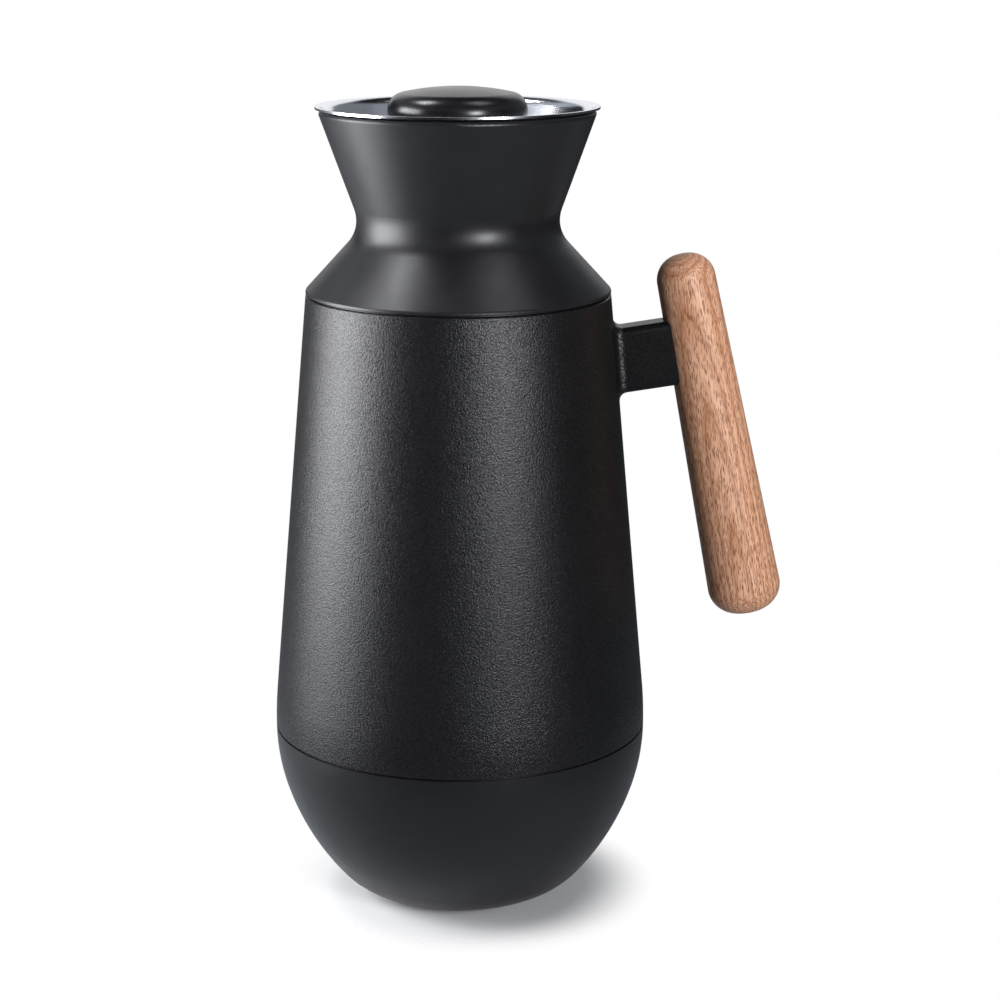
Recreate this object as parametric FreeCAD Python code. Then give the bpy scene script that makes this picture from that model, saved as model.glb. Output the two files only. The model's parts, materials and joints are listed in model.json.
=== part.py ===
"""Vacuum jug of one litre: a steel flask in a tapered casing, with a beech handle and a lift-out stopper.

Millimetres, Z up. The origin is the middle of the foot's underside. The handle points along +X.
"""

import FreeCAD, Part
import math
import os

Vector = FreeCAD.Vector

# Fits that several pieces share
fit_gap = 0.15
run_gap = 0.3
overrun = 5.0
edge_round = 0.6
full_turn = 360.0
quarter_turn = 90.0

# Foot pad and base bowl
foot_margin = 2.4
foot_proud = 1.1
foot_sunk = 2.0
foot_round = 0.8
belly_radius = 68.0
bowl_side_radius = 72.0
bowl_side_turn = 18.0
bowl_flank_radius = 92.4
bowl_flank_turn = 23.0
bowl_heel_radius = 26.45
bowl_wall = 2.5
spigot_height = 8.0
spigot_wall = 2.0
spigot_gap = 0.4

# Casing
casing_height = 159.5
casing_top_radius = 54.4
casing_wall = 2.5
casing_blend_rise = 7.4
casing_blend_radius = 165.0
seam_gap = 0.55
seam_depth = 1.2

# Collar
collar_height = 64.3
collar_top_radius = 49.1
collar_wall = 2.2
collar_rim_round = 1.0
shoulder_edge_rise = 1.4
shoulder_edge_round = 3.0
waist_radius = 34.26
waist_rise = 23.3
waist_round = 12.0
skirt_depth = 10.0

# Pouring funnel
funnel_sheet = 0.8
lip_gap = 0.9
lip_overhang = 0.9
lip_round = 3.0
funnel_bend_rise = 9.7
funnel_bend_round = 6.0
throat_inset = 9.06
throat_rise = 1.7
throat_depth = 11.0
throat_round = 3.0

# Flask
flask_air_gap = 5.3
flask_wall = 0.6
flask_shoulder_drop = 18.0
flask_shoulder_height = 20.0
flask_shoulder_round = 14.0
flask_heel_round = 12.0
neck_vacuum_gap = 1.4
side_vacuum_gap = 2.4
base_vacuum_gap = 6.0
base_rim = 7.0
base_cap_round = 3.0
getter_radius = 5.0
getter_height = 2.0

# Gasket between the funnel and the flask's mouth, and the cushion under the flask
gasket_wall = 1.6
gasket_seat = 1.2
cushion_height = 15.5
cushion_wall_gap = 1.0
cushion_foot_wall = 10.0
cushion_foot_share = 0.7
cushion_rim_wall = 2.2
cushion_rim_height = 8.0

# Handle and the arm that carries it
arm_below_top = 24.3
arm_rise_angle = 8.5
arm_length = 30.0
arm_height = 23.5
arm_thickness = 13.0
arm_round = 2.5
arm_root_round = 3.0
arm_pad = 2.2
handle_lean_angle = 11.6
handle_up = 34.1
handle_down = 100.1
handle_top_radius = 10.3
handle_bottom_radius = 13.5
handle_top_round = 9.0
handle_bottom_round = 9.6

# Handle screws and the brass inserts that they bite into
screw_radius = 2.0
screw_play = 0.25
screw_spread = 6.0
screw_head_radius = 3.5
screw_head_height = 2.4
screw_tip_back = 1.0
insert_radius = 3.2
insert_length = 9.0
insert_sink = 1.0

# Stopper
plug_gap = 0.7
plug_depth = 23.0
plug_round = 1.5
stopper_flange_inset = 4.2
stopper_flange_edge = 3.0
tube_wall = 3.0
port_width = 17.0
port_height = 11.0
port_rise = 3.0
plug_ring_wire = 1.6
plug_ring_drop = 5.5

# Valve rotor, turned by the knob
rotor_radius = 14.6
rotor_wall = 2.2
rotor_play = 0.6
rotor_roof = 3.0
rotor_tail = 4.5
clip_height = 1.2
clip_reach = 2.4
clip_groove = 1.0
rotor_ring_wire = 1.1
rotor_ring_margin = 2.6

# Knob
knob_crown_radius = 95.0
knob_crown_turn = 12.0
knob_edge_radius = 6.2
knob_under_radius = 6.0
knob_under_turn = 70.0
knob_wall = 2.0
knob_above_rim = 6.6
knob_base_height = 3.0
knob_ring_wall = 2.2
knob_boss_radius = 5.0
knob_screw_radius = 2.0
knob_screw_head_radius = 3.6
knob_screw_head_height = 2.4
knob_screw_bite = 6.0


def spot(radius, height):
    """Point of the half section in the XZ plane."""
    return Vector(radius, 0, height)


def heading(start, end):
    """Unit direction from one corner to the next."""
    across = end[0] - start[0]
    along = end[1] - start[1]
    length = math.hypot(across, along)
    return across / length, along / length, length


def turn_at(before, corner, after):
    """Signed angle by which an outline turns at a corner, positive to the left."""
    ax, ay, _ = heading(before, corner)
    bx, by, _ = heading(corner, after)
    return math.atan2(ax * by - ay * bx, ax * bx + ay * by)


def rounded(corners, place=spot):
    """Edges of a closed outline of corners (across, along, rounding), with tangent arcs."""
    count = len(corners)
    turns = [turn_at(corners[i - 1], corners[i], corners[(i + 1) % count]) for i in range(count)]
    reach = [corner[2] * math.tan(abs(turn) / 2) for corner, turn in zip(corners, turns)]
    room = [1.0] * count
    for i in range(count):
        length = heading(corners[i - 1], corners[i])[2]
        need = reach[i - 1] + reach[i]
        if need > length:
            room[i - 1] = min(room[i - 1], length / need)
            room[i] = min(room[i], length / need)
    edges = []
    last = None
    first = None
    for i in range(count):
        x, y = corners[i][:2]
        ux, uy, _ = heading(corners[i - 1], corners[i])
        vx, vy, _ = heading(corners[i], corners[(i + 1) % count])
        cut = reach[i] * room[i]
        start = place(x - ux * cut, y - uy * cut)
        end = place(x + vx * cut, y + vy * cut)
        if last is not None and last.distanceToPoint(start) > Part.Precision.confusion():
            edges.append(Part.LineSegment(last, start).toShape())
        if cut > 0:
            radius = corners[i][2] * room[i]
            bulge = radius / math.cos(turns[i] / 2) - radius
            bx, by = vx - ux, vy - uy
            size = math.hypot(bx, by)
            middle = place(x + bx / size * bulge, y + by / size * bulge)
            edges.append(Part.Arc(start, middle, end).toShape())
        if first is None:
            first = start
        last = end
    if last.distanceToPoint(first) > Part.Precision.confusion():
        edges.append(Part.LineSegment(last, first).toShape())
    return edges


def turned(corners):
    """Solid of revolution about Z of a closed outline."""
    face = Part.Face(Part.Wire(Part.__sortEdges__(rounded(corners))))
    return face.revolve(Vector(0, 0, 0), Vector(0, 0, 1), full_turn)


def parallel(line, gap):
    """Open line of corners moved to its left by a gap, with each rounding kept concentric."""
    moved = []
    for i, corner in enumerate(line):
        before = line[i - 1] if i > 0 else None
        after = line[i + 1] if i + 1 < len(line) else None
        ux, uy, _ = heading(before, corner) if before else heading(corner, after)
        vx, vy, _ = heading(corner, after) if after else (ux, uy, 0)
        turn = math.atan2(ux * vy - uy * vx, ux * vx + uy * vy)
        stretch = gap / (1 + ux * vx + uy * vy)
        x = corner[0] - (uy + vy) * stretch
        y = corner[1] + (ux + vx) * stretch
        rounding = max(corner[2] - math.copysign(1, turn) * gap, 0)
        moved.append((x, y, rounding if corner[2] > 0 else 0))
    return moved


def skin(line, wall):
    """Closed outline of a sheet between a line of corners and its parallel on the left."""
    return line + parallel(line, wall)[::-1]


def bends(start, angle, arcs):
    """Corners of a chain of tangent arcs (radius, turn) that leaves start at an angle, in degrees."""
    x, y = start
    corners = [(x, y, 0)]
    reach = 0
    for radius, turn in arcs:
        half = radius * math.tan(math.radians(abs(turn)) / 2)
        x += math.cos(math.radians(angle)) * (reach + half)
        y += math.sin(math.radians(angle)) * (reach + half)
        corners.append((x, y, radius))
        angle += turn
        reach = half
    x += math.cos(math.radians(angle)) * reach
    y += math.sin(math.radians(angle)) * reach
    return corners + [(x, y, 0)]


def height_on(start, end, radius):
    """Height at which the straight line through two corners has a radius."""
    return start[1] + (end[1] - start[1]) * (radius - start[0]) / (end[0] - start[0])


def radius_on(start, end, height):
    """Radius that the straight line through two corners has at a height."""
    return start[0] + (end[0] - start[0]) * (height - start[1]) / (end[1] - start[1])


def bowl_bore_arcs():
    """Arcs of the bowl's inside from the seam down: middle, radius and end angle below level."""
    turns = (bowl_side_turn, bowl_flank_turn, quarter_turn - bowl_side_turn - bowl_flank_turn)
    radii = (bowl_side_radius, bowl_flank_radius, bowl_heel_radius)
    across = belly_radius - bowl_side_radius
    height = bowl_seam
    end = 0
    arcs = []
    for radius, turn, following in zip(radii, turns, radii[1:] + radii[-1:]):
        end += math.radians(turn)
        arcs.append((across, height, radius - bowl_wall, end))
        across += (radius - following) * math.cos(end)
        height -= (radius - following) * math.sin(end)
    return arcs


def bowl_bore_radius(level):
    """Radius of the bowl's inside at a height."""
    for across, height, bore, end in bowl_bore_arcs():
        if height - bore * math.sin(end) <= level:
            return across + bore * math.cos(math.asin((height - level) / bore))


def post(radius, low, high):
    """Upright cylinder about the jug's axis."""
    return Part.makeCylinder(radius, high - low, Vector(0, 0, low))


def ring(radius, wire, height):
    """Round seal ring whose wire lies inside an outer radius."""
    return Part.makeTorus(radius - wire / 2, wire / 2, Vector(0, 0, height))


# Heights and lines that the pieces share, from the foot up
bowl_line = bends(
    (belly_radius, 0),
    -quarter_turn,
    [
        (bowl_side_radius, -bowl_side_turn),
        (bowl_flank_radius, -bowl_flank_turn),
        (bowl_heel_radius, bowl_side_turn + bowl_flank_turn - quarter_turn),
    ],
)
bowl_seam = foot_proud - bowl_line[-1][1]
bowl_line = [(r, z + bowl_seam, rounding) for r, z, rounding in bowl_line]
bowl_floor = foot_proud + foot_sunk + bowl_wall
foot_radius = bowl_line[-1][0] - foot_margin
casing_low = bowl_seam + seam_gap
casing_top = bowl_seam + casing_height
casing_corner = (belly_radius, bowl_seam + casing_blend_rise, casing_blend_radius)
casing_line = [
    (belly_radius, casing_low, edge_round),
    casing_corner,
    (casing_top_radius, casing_top, edge_round),
]
casing_bore = parallel(casing_line, casing_wall)

waist = (waist_radius, casing_top + waist_rise, waist_round)
shoulder_edge = (casing_top_radius, casing_top + shoulder_edge_rise, shoulder_edge_round)
collar_top = (collar_top_radius, casing_top + collar_height, collar_rim_round)
collar_bore = parallel([shoulder_edge, waist, collar_top], collar_wall)

lip_under = collar_top[1] + lip_gap
rim_height = lip_under + funnel_sheet
funnel_cone = parallel([waist, collar_top], collar_wall + fit_gap)
funnel_bend = waist[1] + funnel_bend_rise
throat_height = waist[1] + throat_rise
throat_radius = waist_radius - throat_inset
throat_outer = throat_radius + funnel_sheet
funnel_line = [
    (collar_top_radius + lip_overhang, lip_under, 0),
    (radius_on(*funnel_cone, lip_under), lip_under, lip_round),
    (radius_on(*funnel_cone, funnel_bend), funnel_bend, funnel_bend_round),
    (throat_outer, throat_height, throat_round),
    (throat_outer, throat_height - throat_depth, 0),
]

neck_radius = throat_outer + fit_gap + gasket_wall + fit_gap
mouth_height = throat_height - gasket_seat
neck_bottom = mouth_height - flask_shoulder_drop
side_top = neck_bottom - flask_shoulder_height
outer_neck_radius = neck_radius + flask_wall + neck_vacuum_gap
mouth_radius = outer_neck_radius + flask_wall
flask_base = bowl_floor + cushion_height
cushion_shelf = flask_base - cushion_rim_wall
room_in_casing = casing_bore[2][0] - flask_air_gap
room_in_bowl = bowl_bore_radius(cushion_shelf) - cushion_wall_gap - cushion_rim_wall - fit_gap
flask_outside = min(room_in_casing, room_in_bowl)
outer_side_radius = flask_outside - flask_wall
flask_radius = outer_side_radius - side_vacuum_gap - flask_wall
cushion_bore = flask_outside + fit_gap
cushion_rim = cushion_bore + cushion_rim_wall
cap_top = flask_base + flask_wall
inner_base = cap_top + base_vacuum_gap

stopper_seat = parallel(funnel_line[2:4], -funnel_sheet - run_gap)
plug_radius = throat_radius - plug_gap
plug_bottom = throat_height - plug_depth
stopper_flange_radius = funnel_line[2][0] - stopper_flange_inset
flange_low = height_on(*stopper_seat, stopper_flange_radius)
flange_top = flange_low + stopper_flange_edge
tube_bore = rotor_radius + rotor_play
tube_radius = tube_bore + tube_wall

knob_line = bends(
    (0, rim_height + knob_above_rim),
    0,
    [
        (knob_crown_radius, -knob_crown_turn),
        (knob_edge_radius, knob_crown_turn - quarter_turn),
        (knob_under_radius, -knob_under_turn),
    ],
)
knob_low = knob_line[-1][1]
knob_foot_radius = knob_line[-1][0]
knob_bore = knob_foot_radius - knob_ring_wall
knob_floor = knob_low + knob_base_height
tube_top = knob_low - run_gap
port_low = flange_top + port_rise
rotor_bottom = plug_bottom - rotor_tail
clip_top = plug_bottom - run_gap

arm_root_height = casing_top - arm_below_top
arm_root = Vector(radius_on(casing_corner, casing_line[2], arm_root_height), 0, arm_root_height)
arm_seat = -casing_wall - arm_pad
handle_share = handle_up / (handle_up + handle_down)
handle_radius = handle_top_radius + (handle_bottom_radius - handle_top_radius) * handle_share
insert_start = arm_length - handle_radius + insert_sink
insert_end = insert_start + insert_length


def along_arm(shape):
    """Shape made with X along the arm from its root, carried to the arm's place."""
    shape.rotate(Vector(0, 0, 0), Vector(0, 1, 0), -arm_rise_angle)
    shape.translate(arm_root)
    return shape


def beside_arm(radius, start, end):
    """The pair of cylinders along the arm that the two handle screws follow."""
    pair = []
    for side in (-screw_spread, screw_spread):
        rod = Part.makeCylinder(radius, end - start, Vector(start, 0, side), Vector(1, 0, 0))
        pair.append(along_arm(rod))
    return pair


def handle_bar(gap):
    """The handle's round bar, swollen by a gap, in its leaning place."""
    bar = turned([
        (0, handle_up + gap, 0),
        (handle_top_radius + gap, handle_up + gap, handle_top_round),
        (handle_bottom_radius + gap, -handle_down - gap, handle_bottom_round),
        (0, -handle_down - gap, 0),
    ])
    bar.rotate(Vector(0, 0, 0), Vector(0, 1, 0), -handle_lean_angle)
    reach = math.radians(arm_rise_angle)
    bar.translate(arm_root + Vector(math.cos(reach), 0, math.sin(reach)) * arm_length)
    return bar


def foot_pad():
    """Round rubber pad that the jug stands on."""
    radius = foot_radius - fit_gap
    return turned([
        (0, 0, 0),
        (radius, 0, foot_round),
        (radius, foot_proud + foot_sunk, 0),
        (0, foot_proud + foot_sunk, 0),
    ])


def base_bowl():
    """Rounded cup under the casing, with the spigot that the casing slips over."""
    spigot_top = casing_low + spigot_height
    spigot = radius_on(casing_bore[1], casing_bore[2], spigot_top) - spigot_gap
    outer = turned(bowl_line + [
        (0, foot_proud, 0),
        (0, spigot_top, 0),
        (spigot, spigot_top, edge_round),
        (spigot, casing_low, 0),
        (belly_radius - seam_depth, casing_low, 0),
        (belly_radius - seam_depth, bowl_seam, 0),
    ])
    hollow_line = parallel(bowl_line, -bowl_wall)
    hollow = turned(hollow_line + [(0, hollow_line[-1][1], 0), (0, bowl_seam, 0)])
    hollow = hollow.common(post(belly_radius, bowl_floor, bowl_seam))
    mouth = post(spigot - spigot_wall, bowl_seam - bowl_wall, spigot_top + overrun)
    return outer.cut(hollow).cut(mouth).cut(post(foot_radius, -overrun, foot_proud + foot_sunk))


def body_casing():
    """Tapered casing with the handle's arm moulded on."""
    shell = turned(skin(casing_line, casing_wall))
    half_width = arm_thickness / 2
    half_height = arm_height / 2
    section = rounded(
        [
            (-half_width, -half_height, arm_round),
            (half_width, -half_height, arm_round),
            (half_width, half_height, arm_round),
            (-half_width, half_height, arm_round),
        ],
        lambda across, along: Vector(arm_seat, across, along),
    )
    block = Part.Face(Part.Wire(Part.__sortEdges__(section))).extrude(Vector(arm_length - arm_seat, 0, 0))
    casing = shell.fuse(along_arm(block)).removeSplitter()
    casing = casing.makeFillet(arm_root_round, root_edges(casing))
    casing = casing.cut(handle_bar(fit_gap))
    return casing.cut(beside_arm(screw_radius + screw_play, arm_seat - overrun, arm_length))


def root_edges(casing):
    """Edges where the arm leaves the outside of the casing."""
    found = []
    for edge in casing.Edges:
        middle = edge.valueAt((edge.FirstParameter + edge.LastParameter) / 2)
        around = math.hypot(middle.x, middle.y)
        wall = radius_on(casing_corner, casing_line[2], middle.z)
        near = middle.x > 0 and abs(middle.y) <= arm_thickness
        if near and abs(middle.z - arm_root.z) <= arm_height and abs(around - wall) < fit_gap:
            found.append(edge)
    return found


def neck_collar():
    """Waisted collar between the casing and the funnel's lip, with a skirt inside the casing."""
    skirt = casing_bore[2][0] - fit_gap
    skirt_bore = skirt - collar_wall
    skirt_low = casing_top - skirt_depth
    relief = casing_top_radius - seam_depth
    collar_low = casing_top + seam_gap
    return turned([
        (casing_top_radius, collar_low, edge_round),
        shoulder_edge,
        waist,
        collar_top,
        (radius_on(collar_bore[1], collar_bore[2], collar_top[1]), collar_top[1], collar_rim_round),
        collar_bore[1],
        (skirt_bore, height_on(collar_bore[0], collar_bore[1], skirt_bore), 0),
        (skirt_bore, skirt_low, 0),
        (skirt, skirt_low, edge_round),
        (skirt, casing_top, 0),
        (relief, casing_top, 0),
        (relief, collar_low, 0),
    ])


def pouring_funnel():
    """Steel funnel with a turned-out lip and a throat that reaches into the flask."""
    return turned(skin(funnel_line, -funnel_sheet))


def flask_inner():
    """Inner steel bottle, with a flange that closes the vacuum gap at the mouth."""
    return turned(skin(
        [
            (mouth_radius, mouth_height, 0),
            (neck_radius, mouth_height, 0),
            (neck_radius, neck_bottom, flask_shoulder_round),
            (flask_radius, side_top, flask_shoulder_round),
            (flask_radius, inner_base, 0),
        ],
        flask_wall,
    ))


def dish(radius, low, rounding):
    """Shallow steel dish that closes a tube from below."""
    return turned(skin(
        [
            (radius, low + base_rim + rounding, 0),
            (radius, low, rounding),
            (0, low, 0),
        ],
        -flask_wall,
    ))


def flask_inner_base():
    """Rounded floor of the inner bottle."""
    return dish(flask_radius - fit_gap, inner_base, flask_heel_round)


def flask_outer():
    """Outer steel shell of the flask, open below for its base cap."""
    return turned(skin(
        [
            (outer_neck_radius, mouth_height - flask_wall, 0),
            (outer_neck_radius, neck_bottom, flask_shoulder_round),
            (outer_side_radius, side_top, flask_shoulder_round),
            (outer_side_radius, flask_base, 0),
        ],
        flask_wall,
    ))


def flask_base_cap():
    """Shallow dish that closes the flask's outer shell from below."""
    return dish(outer_side_radius - fit_gap, flask_base, base_cap_round)


def getter_pill():
    """Pill on the base cap that keeps the vacuum clean."""
    return post(getter_radius, cap_top, cap_top + getter_height)


def mouth_gasket():
    """Silicone ring between the funnel's throat and the flask's mouth."""
    inner = throat_outer + fit_gap
    outer = inner + gasket_wall
    under = parallel(funnel_line[2:4], fit_gap)
    return turned([
        (inner, throat_height - throat_depth, 0),
        (outer, throat_height - throat_depth, edge_round),
        (outer, mouth_height, 0),
        (mouth_radius, mouth_height, 0),
        (mouth_radius, height_on(*under, mouth_radius), 0),
        (inner, height_on(*under, inner), throat_round),
    ])


def flask_cushion():
    """Silicone cup that carries the flask on the bowl's floor."""
    foot = bowl_bore_radius(bowl_floor) - cushion_wall_gap
    inside = foot - cushion_foot_wall
    foot_top = bowl_floor + (cushion_shelf - bowl_floor) * cushion_foot_share
    return turned([
        (inside, bowl_floor, 0),
        (foot, bowl_floor, edge_round),
        (foot, foot_top, edge_round),
        (cushion_rim, cushion_shelf, edge_round),
        (cushion_rim, flask_base + cushion_rim_height, edge_round),
        (cushion_bore, flask_base + cushion_rim_height, 0),
        (cushion_bore, flask_base, 0),
        (inside, flask_base, 0),
    ])


def handle_grip():
    """Tapered beech bar with two blind holes for the inserts."""
    bar = handle_bar(0)
    start = insert_start - insert_sink - overrun
    return bar.cut(beside_arm(insert_radius + fit_gap, start, insert_end + fit_gap))


def handle_inserts():
    """Brass sleeves sunk in the handle."""
    sleeves = beside_arm(insert_radius, insert_start, insert_end)
    bores = beside_arm(screw_radius + fit_gap, insert_start - overrun, insert_end + overrun)
    return Part.makeCompound([sleeve.cut(bore) for sleeve, bore in zip(sleeves, bores)])


def handle_screws():
    """Screws from inside the casing, through the arm, into the handle's inserts."""
    shanks = beside_arm(screw_radius, arm_seat, insert_end - screw_tip_back)
    heads = beside_arm(screw_head_radius, arm_seat - screw_head_height, arm_seat)
    return Part.makeCompound([shank.fuse(head).removeSplitter() for shank, head in zip(shanks, heads)])


def ports(span, angle):
    """Pair of opposite windows, a bar right across the axis at an angle."""
    bar = Part.makeBox(
        2 * span, port_width, port_height, Vector(-span, -port_width / 2, port_low)
    )
    bar.rotate(Vector(0, 0, 0), Vector(0, 0, 1), angle)
    return bar


def stopper_body():
    """Plug for the throat, with a seat on the funnel and a ported tube that holds the rotor."""
    groove = plug_radius - plug_ring_wire / 2
    ring_height = throat_height - plug_ring_drop
    body = turned([
        (tube_bore, plug_bottom, 0),
        (plug_radius, plug_bottom, plug_round),
        (plug_radius, height_on(*stopper_seat, plug_radius), 0),
        (stopper_flange_radius, flange_low, edge_round),
        (stopper_flange_radius, flange_top, edge_round),
        (tube_radius, flange_top, edge_round),
        (tube_radius, tube_top, edge_round),
        (tube_bore, tube_top, 0),
    ])
    low = ring_height - plug_ring_wire / 2 - fit_gap
    high = ring_height + plug_ring_wire / 2 + fit_gap
    channel = post(plug_radius + overrun, low, high).cut(post(groove, low, high))
    return body.cut(channel.common(post(throat_outer, low, high))).cut(ports(stopper_flange_radius, 0))


def stopper_gasket():
    """Flat silicone band in the plug's groove, just clear of the throat."""
    ring_height = throat_height - plug_ring_drop
    low = ring_height - plug_ring_wire / 2
    high = ring_height + plug_ring_wire / 2
    outer = throat_radius - run_gap
    inner = plug_radius - plug_ring_wire / 2 + fit_gap
    return turned([(inner, low, 0), (outer, low, edge_round), (outer, high, edge_round), (inner, high, 0)])


def ring_heights():
    """Heights of the rotor's two seals, under and over the ports."""
    return port_low - rotor_ring_margin, port_low + port_height + rotor_ring_margin


def valve_rotor():
    """Hollow rotor whose windows meet the stopper's ports after a quarter turn."""
    bore = rotor_radius - rotor_wall
    body = turned([
        (bore, rotor_bottom, 0),
        (rotor_radius, rotor_bottom, edge_round),
        (rotor_radius, knob_low, 0),
        (knob_screw_radius + screw_play, knob_low, 0),
        (knob_screw_radius + screw_play, knob_low - rotor_roof, 0),
        (bore, knob_low - rotor_roof, 0),
    ])
    clip_low = clip_top - clip_height
    neck = rotor_radius - clip_groove
    body = body.cut(post(rotor_radius + overrun, clip_low, clip_top).cut(post(neck, clip_low, clip_top)))
    for height in ring_heights():
        body = body.cut(Part.makeTorus(rotor_radius + run_gap - rotor_ring_wire / 2,
                                       rotor_ring_wire / 2 + fit_gap, Vector(0, 0, height)))
    return body.cut(ports(stopper_flange_radius, quarter_turn))


def rotor_seals():
    """Round seals in the rotor's grooves, under and over the ports."""
    return Part.makeCompound([ring(rotor_radius + run_gap, rotor_ring_wire, z) for z in ring_heights()])


def rotor_clip():
    """Split ring that holds the rotor in the plug from below."""
    low = clip_top - clip_height
    inner = rotor_radius - clip_groove + fit_gap
    outer = rotor_radius + clip_reach
    clip = post(outer, low, clip_top).cut(post(inner, low, clip_top))
    gap = Part.makeBox(outer, 2 * clip_groove, clip_height, Vector(0, -clip_groove, low))
    return clip.cut(gap)


def knob_cap():
    """Domed cap of the knob, with a boss for its screw."""
    shell = turned(knob_line + [
        (knob_bore, knob_low, 0),
        (knob_bore, knob_floor, 0),
        (knob_boss_radius, knob_floor, 0),
        (0, knob_floor, 0),
    ])
    ceiling = parallel(knob_line, -knob_wall)
    low = knob_floor
    hollow = turned([
        (0, low, 0),
        (radius_on(ceiling[2], ceiling[3], low), low, 0),
        ceiling[2],
        ceiling[1],
        (0, ceiling[0][1], 0),
    ])
    hollow = hollow.cut(post(knob_boss_radius, low, ceiling[0][1]))
    ledge = post(knob_bore, low, low + knob_wall)
    pilot = post(knob_screw_radius, knob_floor, knob_floor + knob_screw_bite + fit_gap)
    return shell.cut(hollow.fuse(ledge.cut(post(knob_boss_radius, low, low + knob_wall)))).cut(pilot)


def knob_base():
    """Disc that closes the knob from below and stands on the rotor."""
    disc = post(knob_bore - fit_gap, knob_low, knob_floor)
    return disc.cut(post(knob_screw_radius + screw_play, knob_low - overrun, knob_floor + overrun))


def knob_screw():
    """Screw from inside the rotor up into the knob."""
    seat = knob_low - rotor_roof
    shank = post(knob_screw_radius, seat, knob_floor + knob_screw_bite)
    head = post(knob_screw_head_radius, seat - knob_screw_head_height, seat)
    return shank.fuse(head).removeSplitter()


PIECES = [
    foot_pad,
    base_bowl,
    body_casing,
    neck_collar,
    pouring_funnel,
    flask_inner,
    flask_inner_base,
    flask_outer,
    flask_base_cap,
    getter_pill,
    mouth_gasket,
    flask_cushion,
    handle_grip,
    handle_inserts,
    handle_screws,
    stopper_body,
    stopper_gasket,
    valve_rotor,
    rotor_seals,
    rotor_clip,
    knob_cap,
    knob_base,
    knob_screw,
]

os.makedirs("parts", exist_ok=True)
for piece in PIECES:
    shape = piece()
    state = "valid" if shape.isValid() else "NOT VALID"
    print(piece.__name__, state, len(shape.Solids), "solids", round(shape.Volume), "mm3")
    shape.exportStep("parts/" + piece.__name__ + ".step")
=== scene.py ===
"""Looks of the vacuum jug: the finish of every piece, a white studio and the photograph's camera."""

import json
import math

import bpy
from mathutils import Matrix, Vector


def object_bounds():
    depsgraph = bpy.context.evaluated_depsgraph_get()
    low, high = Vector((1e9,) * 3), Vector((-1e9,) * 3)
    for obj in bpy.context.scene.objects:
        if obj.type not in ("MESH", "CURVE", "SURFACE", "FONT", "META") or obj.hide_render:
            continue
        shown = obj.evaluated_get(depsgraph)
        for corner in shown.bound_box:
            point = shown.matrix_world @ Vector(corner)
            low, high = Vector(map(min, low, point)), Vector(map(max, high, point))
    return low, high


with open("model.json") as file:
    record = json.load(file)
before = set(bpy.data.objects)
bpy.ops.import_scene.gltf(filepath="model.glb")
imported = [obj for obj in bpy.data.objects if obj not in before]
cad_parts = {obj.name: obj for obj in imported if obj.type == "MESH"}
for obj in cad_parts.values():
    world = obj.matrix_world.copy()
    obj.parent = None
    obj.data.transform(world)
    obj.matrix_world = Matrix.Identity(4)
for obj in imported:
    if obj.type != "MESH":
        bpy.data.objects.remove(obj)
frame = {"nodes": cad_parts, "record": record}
cad_low, cad_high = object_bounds()

MM = 0.001
WHITE = (1.0, 1.0, 1.0, 1.0)

# Camera, fitted to the photograph's outline
IMAGE_WIDTH_PX = 1000
FOCAL_PX = 2400
SENSOR_MM = 36.0
CAMERA_PLACE_M = (0.0, -0.8481, 0.3574)
CAMERA_PITCH_DEG = 13.88
CAMERA_YAW_DEG = 1.0

# Patches of the studio's surroundings: strength, where 1 is white,
# and limits of the direction's X, Y and Z, softened over an edge to each side
ROOM_TINT = (0.86, 0.92, 1.0, 1.0)
PATCH_EDGE = 0.06
ANY = (-1.0, 1.0)
SURROUNDINGS = {
    "backdrop": (1.1, ((-0.4, 0.4), (0.0, 1.0), (0.05, 0.62))),
    "left_wall": (0.45, ((-1.0, -0.4), (0.0, 1.0), (0.35, 0.62))),
    "right_wall": (0.22, ((0.4, 1.0), (0.0, 1.0), (0.05, 0.62))),
    "table_behind": (0.22, ((-0.15, 0.2), (0.0, 1.0), (-0.32, 0.0))),
    "table_behind_left": (0.11, ((-1.0, -0.15), (0.0, 1.0), (-0.32, 0.0))),
    "table_behind_right": (0.04, ((0.2, 1.0), (0.0, 1.0), (-0.32, 0.0))),
    "table_left": (0.72, ((-1.0, 0.0), (0.0, 1.0), (-1.0, -0.32))),
    "table_right": (0.32, ((0.0, 1.0), (0.0, 1.0), (-1.0, -0.32))),
    "table_front": (0.56, (ANY, (-1.0, 0.0), (-1.0, -0.42))),
    "ceiling_front": (0.32, (ANY, (-1.0, 0.0), (0.35, 0.62))),
}

# Lamps: place, point that they face, width and height, all in metres, and watts
LAMP_TINT = (0.96, 0.97, 1.0)
LAMPS = {
    "left_softbox": ((-0.42, -0.035, 0.285), (0.0, 0.0, 0.285), 0.31, 0.33, 5.3),
    "left_low": ((-0.42, -0.035, 0.06), (0.0, 0.0, 0.06), 0.31, 0.12, 0.8),
    "high_softbox": ((-0.42, 0.03, 1.03), (0.0, 0.0, 1.03), 0.24, 0.45, 9.0),
    "right_strip": ((0.58, -1.0, 0.45), (0.0, 0.0, 0.45), 0.3, 0.4, 16.5),
    "right_top": ((0.36, -0.14, 1.15), (0.0, 0.0, 0.2), 0.35, 0.35, 1.7),
}

# Floor, fully opaque out to one radius about the shadow's middle and clear beyond another; its grey is
# painted shadow that deepens the real shadow falling on it
FLOOR_RADIUS = 0.085
FLOOR_SIDES = 96
# Grey of the patch: painted shadow under the jug, on top of the real shadow the patch takes
FLOOR_PAINTED_SHADOW_GREY = (0.58, 0.58, 0.58, 1.0)
SHADOW_SHIFT = 0.003
SHADOW_CORE = 0.042
SHADOW_EDGE = 0.071

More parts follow.
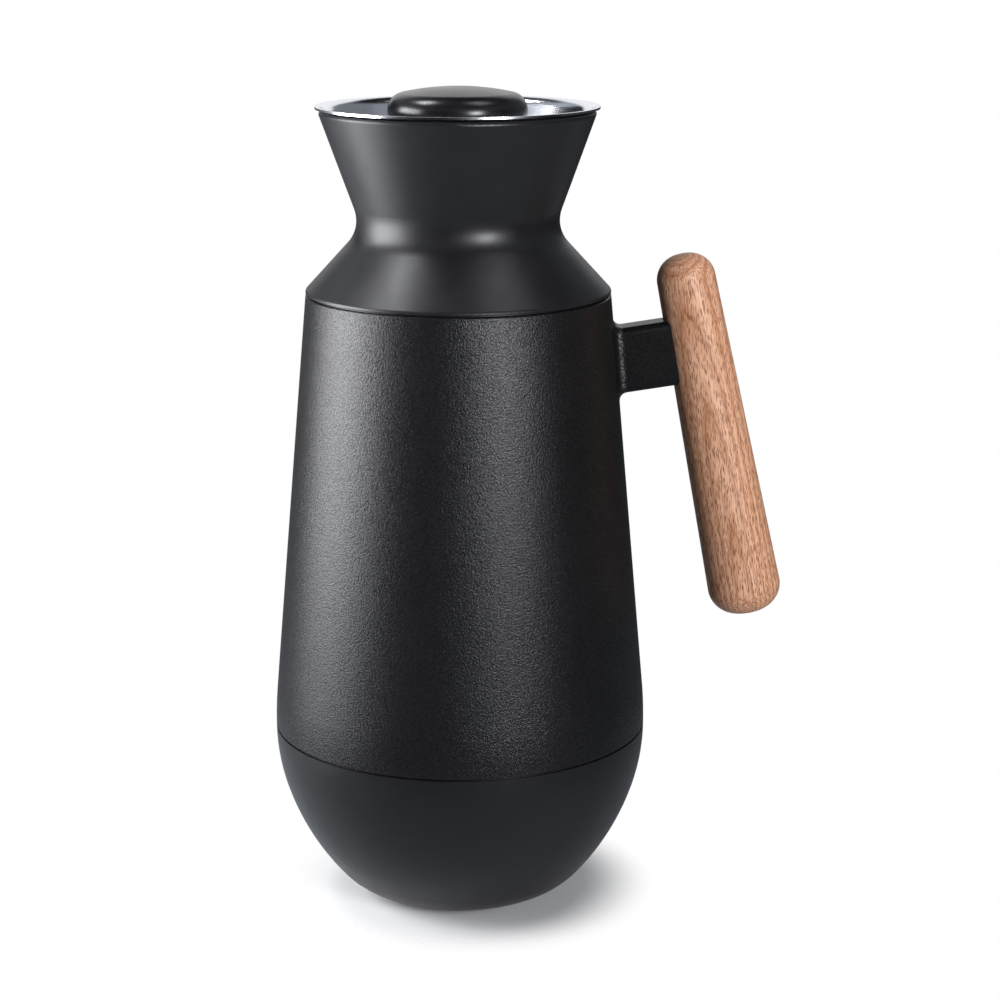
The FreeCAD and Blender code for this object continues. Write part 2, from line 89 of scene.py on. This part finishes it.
# Range that holds most of a noise's values
NOISE_LOW = 0.3
NOISE_HIGH = 0.7

# Strength of the plastic's mirror light, where 0.5 is that of clear lacquer
PLASTIC_SPECULAR = 0.35

# Grain of the casing: raised pebbles with wrinkles over them, glossiest in the pebbles' middles
PEBBLE_SIZE = 0.66 * MM
PEBBLE_WEIGHT = 0.7
PEBBLE_MIDDLE = 0.1
PEBBLE_RIM = 0.7
MIDDLE_SPECULAR = 1.35 * PLASTIC_SPECULAR
RIM_SPECULAR = 0.65 * PLASTIC_SPECULAR
WRINKLE_SIZE = 0.36 * MM
GRAIN_DEPTH = 0.105 * MM
CASING_CLOUD_SIZE = 18 * MM
CASING_DARK = (0.0038, 0.0038, 0.0042)
CASING_PALE = (0.0050, 0.0050, 0.0054)
CASING_SMOOTHEST = 0.30
CASING_ROUGHEST = 0.37

# The casing's side leans in by this much per unit of height,
# and the arm, with a fainter grain and less gloss, stands outside it
CASING_SLOPE = 0.082
ARM_ROOT = 0.0752
ARM_EDGE = 1 * MM
ARM_GRAIN_SHARE = 0.3
ARM_GLOSS_SHARE = 0.4

# Smooth plastic: clouds in its gloss and a dusty relief
MOTTLE_SIZE = 9 * MM
MOTTLE_DETAIL = 4.0
MOTTLE_SHADE = 0.85
MOTTLE_SMOOTHER = 0.02
MOTTLE_ROUGHER = 0.03
DUST_SIZE = 0.35 * MM
DUST_DEPTH = 0.002 * MM

# Turned metal: fine rings about the jug's axis and faint clouds
TURNING_SIZE = 0.25 * MM
TURNING_DETAIL = 3.0
TURNING_DEPTH = 0.0015 * MM
TURNING_SMOOTHER = 0.03
TURNING_ROUGHER = 0.04
METAL_CLOUD_SIZE = 12 * MM
METAL_SHADE = 0.96

# Seals: clouds and a fine grain
SEAL_CLOUD_SIZE = 4 * MM
SEAL_CLOUD_DETAIL = 3.0
SEAL_SHADE = 0.88
SEAL_GRAIN_SIZE = 0.5 * MM
SEAL_GRAIN_DEPTH = 0.01 * MM
SEAL_SMOOTHEST = 0.5
SEAL_ROUGHEST = 0.62

# The beech's growth rings lie about a heart that leans through the handle, so they cut its front in arches
HANDLE_LEAN_DEG = 11.6
HEART_HEIGHT = 0.2455
HEART_TILT = 0.0725
HEART_ACROSS = 0.1245
RING_SPACING = 1.9 * MM
RING_WOBBLE = 1.0 * MM
WOBBLE_SIZE = 9 * MM
WOBBLE_STRETCH = (1, 1, 0.15)
RING_COLOURS = [
    (0.0, (0.34, 0.146, 0.070)),
    (0.14, (0.53, 0.280, 0.168)),
    (0.5, (0.64, 0.370, 0.238)),
    (1.0, (0.47, 0.232, 0.128)),
]

# Its fibres and flecks stand steeper than the handle
FLECK_LEAN_DEG = 7.0
FIBRE_SIZE = 0.4 * MM
FIBRE_STRETCH = (1, 1, 0.11)
FIBRE_DETAIL = 1.0
FIBRE_COLOUR = (0.30, 0.118, 0.054, 1.0)
FIBRE_START = 0.49
FIBRE_FULL = 0.61
FIBRE_STRENGTH = 0.7
FLECK_SIZE = 0.48 * MM
FLECK_STRETCH = (1, 1, 0.12)
FLECK_COLOUR = (0.18, 0.060, 0.026, 1.0)
FLECK_CORE = 0.24
FLECK_RIM = 0.36
FLECK_STRENGTH = 0.9
FLECK_DEPTH = 0.03 * MM
WOOD_SMOOTHEST = 0.46
WOOD_ROUGHEST = 0.58
WOOD_SPECULAR = 0.3


class Nodes:
    """A node tree under construction, with short calls to add and join its nodes."""

    def __init__(self, tree):
        self.tree = tree

    def add(self, kind, inputs=None, **settings):
        node = self.tree.nodes.new(kind)
        for key, value in settings.items():
            setattr(node, key, value)
        for key, value in (inputs or {}).items():
            self.feed(node, key, value)
        return node

    def feed(self, node, key, value):
        """Links a socket to the input, or sets its value."""
        if isinstance(value, bpy.types.NodeSocket):
            self.tree.links.new(value, node.inputs[key])
        else:
            node.inputs[key].default_value = value

    def math(self, operation, first, second=0.0, clamp=False):
        node = self.add("ShaderNodeMath", {0: first, 1: second}, operation=operation, use_clamp=clamp)
        return node.outputs[0]

    def span(self, value, low, high, start, end, smooth=False):
        """Value mapped from low..high to start..end, clamped."""
        curve = "SMOOTHSTEP" if smooth else "LINEAR"
        node = self.add("ShaderNodeMapRange", {
            "Value": value,
            "From Min": low,
            "From Max": high,
            "To Min": start,
            "To Max": end,
        }, interpolation_type=curve)
        return node.outputs["Result"]

    def noise_span(self, noise, start, end):
        """Noise spread over start..end."""
        return self.span(noise, NOISE_LOW, NOISE_HIGH, start, end)

    def axes(self, vector):
        node = self.add("ShaderNodeSeparateXYZ", {"Vector": vector})
        return [node.outputs[axis] for axis in "XYZ"]

    def distance(self, first, second):
        """Length of a flat vector from its two parts."""
        squares = [self.math("MULTIPLY", part, part) for part in (first, second)]
        return self.math("SQRT", self.math("ADD", *squares))


class Shader(Nodes):
    """A material under construction."""

    def __init__(self, name):
        self.material = bpy.data.materials.new(name)
        self.material.use_nodes = True
        super().__init__(self.material.node_tree)
        self.surface = self.tree.nodes["Principled BSDF"]

    def place(self):
        """Object coordinates in metres."""
        return self.add("ShaderNodeTexCoord").outputs["Object"]

    def turned(self, where, degrees):
        """Coordinates turned about the origin by angles about X, Y and Z."""
        turn = [math.radians(angle) for angle in degrees]
        return self.add("ShaderNodeMapping", {"Vector": where, "Rotation": turn}).outputs["Vector"]

    def stretched(self, where, scale):
        return self.add("ShaderNodeMapping", {"Vector": where, "Scale": scale}).outputs["Vector"]

    def joined(self, x, y, z):
        return self.add("ShaderNodeCombineXYZ", {"X": x, "Y": y, "Z": z}).outputs["Vector"]

    def noise(self, where, size, detail=2.0):
        """Noise whose features are about size metres across."""
        node = self.add("ShaderNodeTexNoise", {"Vector": where, "Scale": 1.0 / size, "Detail": detail})
        return node.outputs["Fac"]

    def cells(self, where, size):
        """Cells about size metres across, 0 at each middle."""
        node = self.add("ShaderNodeTexVoronoi", {"Vector": where, "Scale": 1.0 / size})
        return node.outputs["Distance"]

    def ramp(self, value, stops):
        node = self.add("ShaderNodeValToRGB", {"Fac": value})
        ramp = node.color_ramp
        while len(ramp.elements) < len(stops):
            ramp.elements.new(1.0)
        for element, (position, colour) in zip(ramp.elements, stops):
            element.position = position
            element.color = (*colour, 1.0)
        return node.outputs["Color"]

    def clouds(self, noise, colour, shade):
        """Colour with darker clouds, in which it is multiplied by shade."""
        deeper = tuple(channel * shade for channel in colour)
        return self.ramp(noise, [(NOISE_LOW, deeper), (NOISE_HIGH, colour)])

    def mix(self, amount, first, second):
        node = self.add("ShaderNodeMix", {0: amount, 6: first, 7: second}, data_type="RGBA")
        return node.outputs[2]

    def bump(self, height, depth, strength=1.0):
        """Bump whose height of 0 to 1 stands for depth metres."""
        node = self.add("ShaderNodeBump", {"Height": height, "Distance": depth, "Strength": strength})
        self.feed(self.surface, "Normal", node.outputs["Normal"])

    def set(self, **inputs):
        """Feeds the surface's inputs, with underscores in their names for spaces."""
        for key, value in inputs.items():
            self.feed(self.surface, key.replace("_", " "), value)


def grained_plastic():
    """Black casing plastic with a fine moulded leather grain, fainter on the arm."""
    shader = Shader("grained_plastic")
    where = shader.place()
    pebbles = shader.cells(where, PEBBLE_SIZE)
    wrinkles = shader.noise(where, WRINKLE_SIZE)
    height = shader.math("SUBTRACT", wrinkles, shader.math("MULTIPLY", pebbles, PEBBLE_WEIGHT))
    across, _, up = shader.axes(where)
    outward = shader.math("ADD", across, shader.math("MULTIPLY", up, CASING_SLOPE))
    grain_share = shader.span(outward, ARM_ROOT, ARM_ROOT + ARM_EDGE, 1.0, ARM_GRAIN_SHARE)
    gloss_share = shader.span(outward, ARM_ROOT, ARM_ROOT + ARM_EDGE, 1.0, ARM_GLOSS_SHARE)
    shader.bump(height, GRAIN_DEPTH, grain_share)
    gloss = shader.span(pebbles, PEBBLE_MIDDLE, PEBBLE_RIM, MIDDLE_SPECULAR, RIM_SPECULAR)
    shade = shader.noise(where, CASING_CLOUD_SIZE)
    shader.set(
        Base_Color=shader.ramp(shade, [(NOISE_LOW, CASING_DARK), (NOISE_HIGH, CASING_PALE)]),
        Roughness=shader.noise_span(wrinkles, CASING_SMOOTHEST, CASING_ROUGHEST),
        Specular_IOR_Level=shader.math("MULTIPLY", gloss, gloss_share),
    )
    return shader.material


def smooth_plastic(name, colour, roughness):
    """Black satin plastic with a faint mottle in its gloss."""
    shader = Shader(name)
    where = shader.place()
    mottle = shader.noise(where, MOTTLE_SIZE, MOTTLE_DETAIL)
    shader.bump(shader.noise(where, DUST_SIZE), DUST_DEPTH)
    shader.set(
        Base_Color=shader.clouds(mottle, colour, MOTTLE_SHADE),
        Roughness=shader.noise_span(mottle, roughness - MOTTLE_SMOOTHER, roughness + MOTTLE_ROUGHER),
        Specular_IOR_Level=PLASTIC_SPECULAR,
    )
    return shader.material


def turned_metal(name, colour, roughness):
    """Metal with faint rings from turning about the jug's axis."""
    shader = Shader(name)
    where = shader.place()
    x, y, z = shader.axes(where)
    rings = shader.noise(shader.joined(shader.distance(x, y), 0.0, z), TURNING_SIZE, TURNING_DETAIL)
    shader.bump(rings, TURNING_DEPTH)
    shader.set(
        Base_Color=shader.clouds(shader.noise(where, METAL_CLOUD_SIZE), colour, METAL_SHADE),
        Metallic=1.0,
        Roughness=shader.noise_span(rings, roughness - TURNING_SMOOTHER, roughness + TURNING_ROUGHER),
    )
    return shader.material


def beech():
    """Oiled beech: nested arches of growth rings, with short dark flecks and fine fibres along the handle."""
    shader = Shader("beech")
    where = shader.turned(shader.place(), (0, HANDLE_LEAN_DEG, 0))
    across, depth, along = shader.axes(where)
    heart_depth = shader.math("MULTIPLY", shader.math("SUBTRACT", along, HEART_HEIGHT), HEART_TILT)
    behind = shader.math("SUBTRACT", depth, heart_depth)
    side = shader.math("SUBTRACT", across, HEART_ACROSS)
    wobble = shader.noise(shader.stretched(where, WOBBLE_STRETCH), WOBBLE_SIZE)
    radius = shader.math("ADD", shader.distance(side, behind), shader.math("MULTIPLY", wobble, RING_WOBBLE))
    year = shader.math("FRACT", shader.math("DIVIDE", radius, RING_SPACING))
    wood = shader.ramp(year, RING_COLOURS)

    grain = shader.turned(shader.place(), (0, FLECK_LEAN_DEG, 0))
    fibres = shader.noise(shader.stretched(grain, FIBRE_STRETCH), FIBRE_SIZE, FIBRE_DETAIL)
    fibre_amount = shader.span(fibres, FIBRE_START, FIBRE_FULL, 0.0, FIBRE_STRENGTH)
    wood = shader.mix(fibre_amount, wood, FIBRE_COLOUR)
    cells = shader.cells(shader.stretched(grain, FLECK_STRETCH), FLECK_SIZE)
    flecks = shader.span(cells, FLECK_CORE, FLECK_RIM, 1.0, 0.0)
    wood = shader.mix(shader.math("MULTIPLY", flecks, FLECK_STRENGTH), wood, FLECK_COLOUR)
    shader.bump(shader.math("MULTIPLY", flecks, -1.0), FLECK_DEPTH)
    shader.set(
        Base_Color=wood,
        Roughness=shader.noise_span(fibres, WOOD_SMOOTHEST, WOOD_ROUGHEST),
        Specular_IOR_Level=WOOD_SPECULAR,
    )
    return shader.material


def seal_rubber(name, colour):
    """Soft silicone or rubber with a dusty mottle."""
    shader = Shader(name)
    where = shader.place()
    mottle = shader.noise(where, SEAL_CLOUD_SIZE, SEAL_CLOUD_DETAIL)
    shader.bump(shader.noise(where, SEAL_GRAIN_SIZE), SEAL_GRAIN_DEPTH)
    shader.set(
        Base_Color=shader.clouds(mottle, colour, SEAL_SHADE),
        Roughness=shader.noise_span(mottle, SEAL_SMOOTHEST, SEAL_ROUGHEST),
    )
    return shader.material


def dress_nodes():
    """Gives each node the finish of its material slot."""
    finishes = {
        "grained_plastic": grained_plastic(),
        "smooth_plastic": smooth_plastic("smooth_plastic", (0.0054, 0.0054, 0.0064), 0.385),
        "knob_plastic": smooth_plastic("knob_plastic", (0.006, 0.006, 0.007), 0.27),
        "stopper_plastic": smooth_plastic("stopper_plastic", (0.008, 0.008, 0.009), 0.45),
        "funnel_steel": turned_metal("funnel_steel", (0.80, 0.82, 0.87), 0.18),
        "flask_steel": turned_metal("flask_steel", (0.64, 0.64, 0.65), 0.3),
        "screw_steel": turned_metal("screw_steel", (0.58, 0.58, 0.58), 0.3),
        "insert_brass": turned_metal("insert_brass", (0.72, 0.54, 0.25), 0.3),
        "beech": beech(),
        "silicone": seal_rubber("silicone", (0.55, 0.55, 0.53)),
        "foot_rubber": seal_rubber("foot_rubber", (0.03, 0.03, 0.03)),
    }
    slots = {part["node"]: part["material_slot"] for part in frame["record"]["subparts"]}
    for name, node in frame["nodes"].items():
        node.data.materials.clear()
        node.data.materials.append(finishes[slots[name]])


def softbox(name, place, aim, width, height, watts):
    """Rectangular lamp that faces a point."""
    lamp = bpy.data.lights.new(name, "AREA")
    lamp.shape = "RECTANGLE"
    lamp.size = width
    lamp.size_y = height
    lamp.energy = watts
    lamp.color = LAMP_TINT
    holder = bpy.data.objects.new(name, lamp)
    holder.location = place
    holder.rotation_euler = (Vector(aim) - Vector(place)).to_track_quat("-Z", "Y").to_euler()
    bpy.context.collection.objects.link(holder)


def patch(sky, axes, strength, limits):
    """Strength where the direction lies between soft limits along X, Y and Z, and 0 elsewhere."""
    for axis, (low, high) in zip(axes, limits):
        if low > -1:
            above = sky.span(axis, low - PATCH_EDGE, low + PATCH_EDGE, 0.0, 1.0, smooth=True)
            strength = sky.math("MULTIPLY", above, strength)
        if high < 1:
            below = sky.span(axis, high - PATCH_EDGE, high + PATCH_EDGE, 1.0, 0.0, smooth=True)
            strength = sky.math("MULTIPLY", below, strength)
    return strength


def studio():
    """White for the camera and for mirrored rays towards the backdrop, dimmer surroundings, and lamps."""
    world = bpy.data.worlds.new("studio")
    bpy.context.scene.world = world
    world.use_nodes = True
    world.node_tree.nodes.clear()
    sky = Nodes(world.node_tree)
    axes = sky.axes(sky.add("ShaderNodeTexCoord").outputs["Generated"])
    glow = 0.0
    for strength, limits in SURROUNDINGS.values():
        glow = sky.math("ADD", patch(sky, axes, strength, limits), glow)
    path = sky.add("ShaderNodeLightPath").outputs
    mirrored = sky.math("ADD", path["Is Glossy Ray"], path["Is Transmission Ray"], clamp=True)
    _, backdrop_limits = SURROUNDINGS["backdrop"]
    shows_white = sky.math("MAXIMUM", path["Is Camera Ray"], patch(sky, axes, mirrored, backdrop_limits))
    around = sky.add("ShaderNodeBackground", {"Color": ROOM_TINT, "Strength": glow}).outputs[0]
    white = sky.add("ShaderNodeBackground", {"Color": WHITE, "Strength": 1.0}).outputs[0]
    shown = sky.add("ShaderNodeMixShader", {0: shows_white, 1: around, 2: white}).outputs[0]
    sky.add("ShaderNodeOutputWorld", {"Surface": shown})
    for name, settings in LAMPS.items():
        softbox(name, *settings)


def floor():
    """Round patch of pale grey floor that takes the jug's real shadow, adds painted shadow with its own grey,
    and fades out into the white backdrop.
    """
    points = []
    for i in range(FLOOR_SIDES):
        angle = 2 * math.pi * i / FLOOR_SIDES
        points.append((FLOOR_RADIUS * math.cos(angle), FLOOR_RADIUS * math.sin(angle), cad_low[2]))
    mesh = bpy.data.meshes.new("floor")
    mesh.from_pydata(points, [], [list(range(FLOOR_SIDES))])
    plate = bpy.data.objects.new("floor", mesh)
    bpy.context.collection.objects.link(plate)
    shader = Shader("floor_painted_shadow_grey")
    x, y, _ = shader.axes(shader.place())
    from_middle = shader.distance(shader.math("SUBTRACT", x, SHADOW_SHIFT), y)
    # Opacity of the painted-shadow grey, fading out around the shadow's middle
    painted_shadow_alpha = shader.span(from_middle, SHADOW_CORE, SHADOW_EDGE, 1.0, 0.0, smooth=True)
    shader.set(Base_Color=FLOOR_PAINTED_SHADOW_GREY, Roughness=1.0, Specular_IOR_Level=0.0, Alpha=painted_shadow_alpha)
    mesh.materials.append(shader.material)


def camera():
    """Camera at the photograph's viewpoint."""
    lens = bpy.data.cameras.new("camera")
    lens.sensor_width = SENSOR_MM
    lens.lens = FOCAL_PX * SENSOR_MM / IMAGE_WIDTH_PX
    holder = bpy.data.objects.new("camera", lens)
    holder.location = CAMERA_PLACE_M
    holder.rotation_euler = (math.radians(90 - CAMERA_PITCH_DEG), 0, math.radians(-CAMERA_YAW_DEG))
    bpy.context.collection.objects.link(holder)
    bpy.context.scene.camera = holder


bpy.context.scene.view_settings.view_transform = "Standard"
dress_nodes()
studio()
floor()
camera()
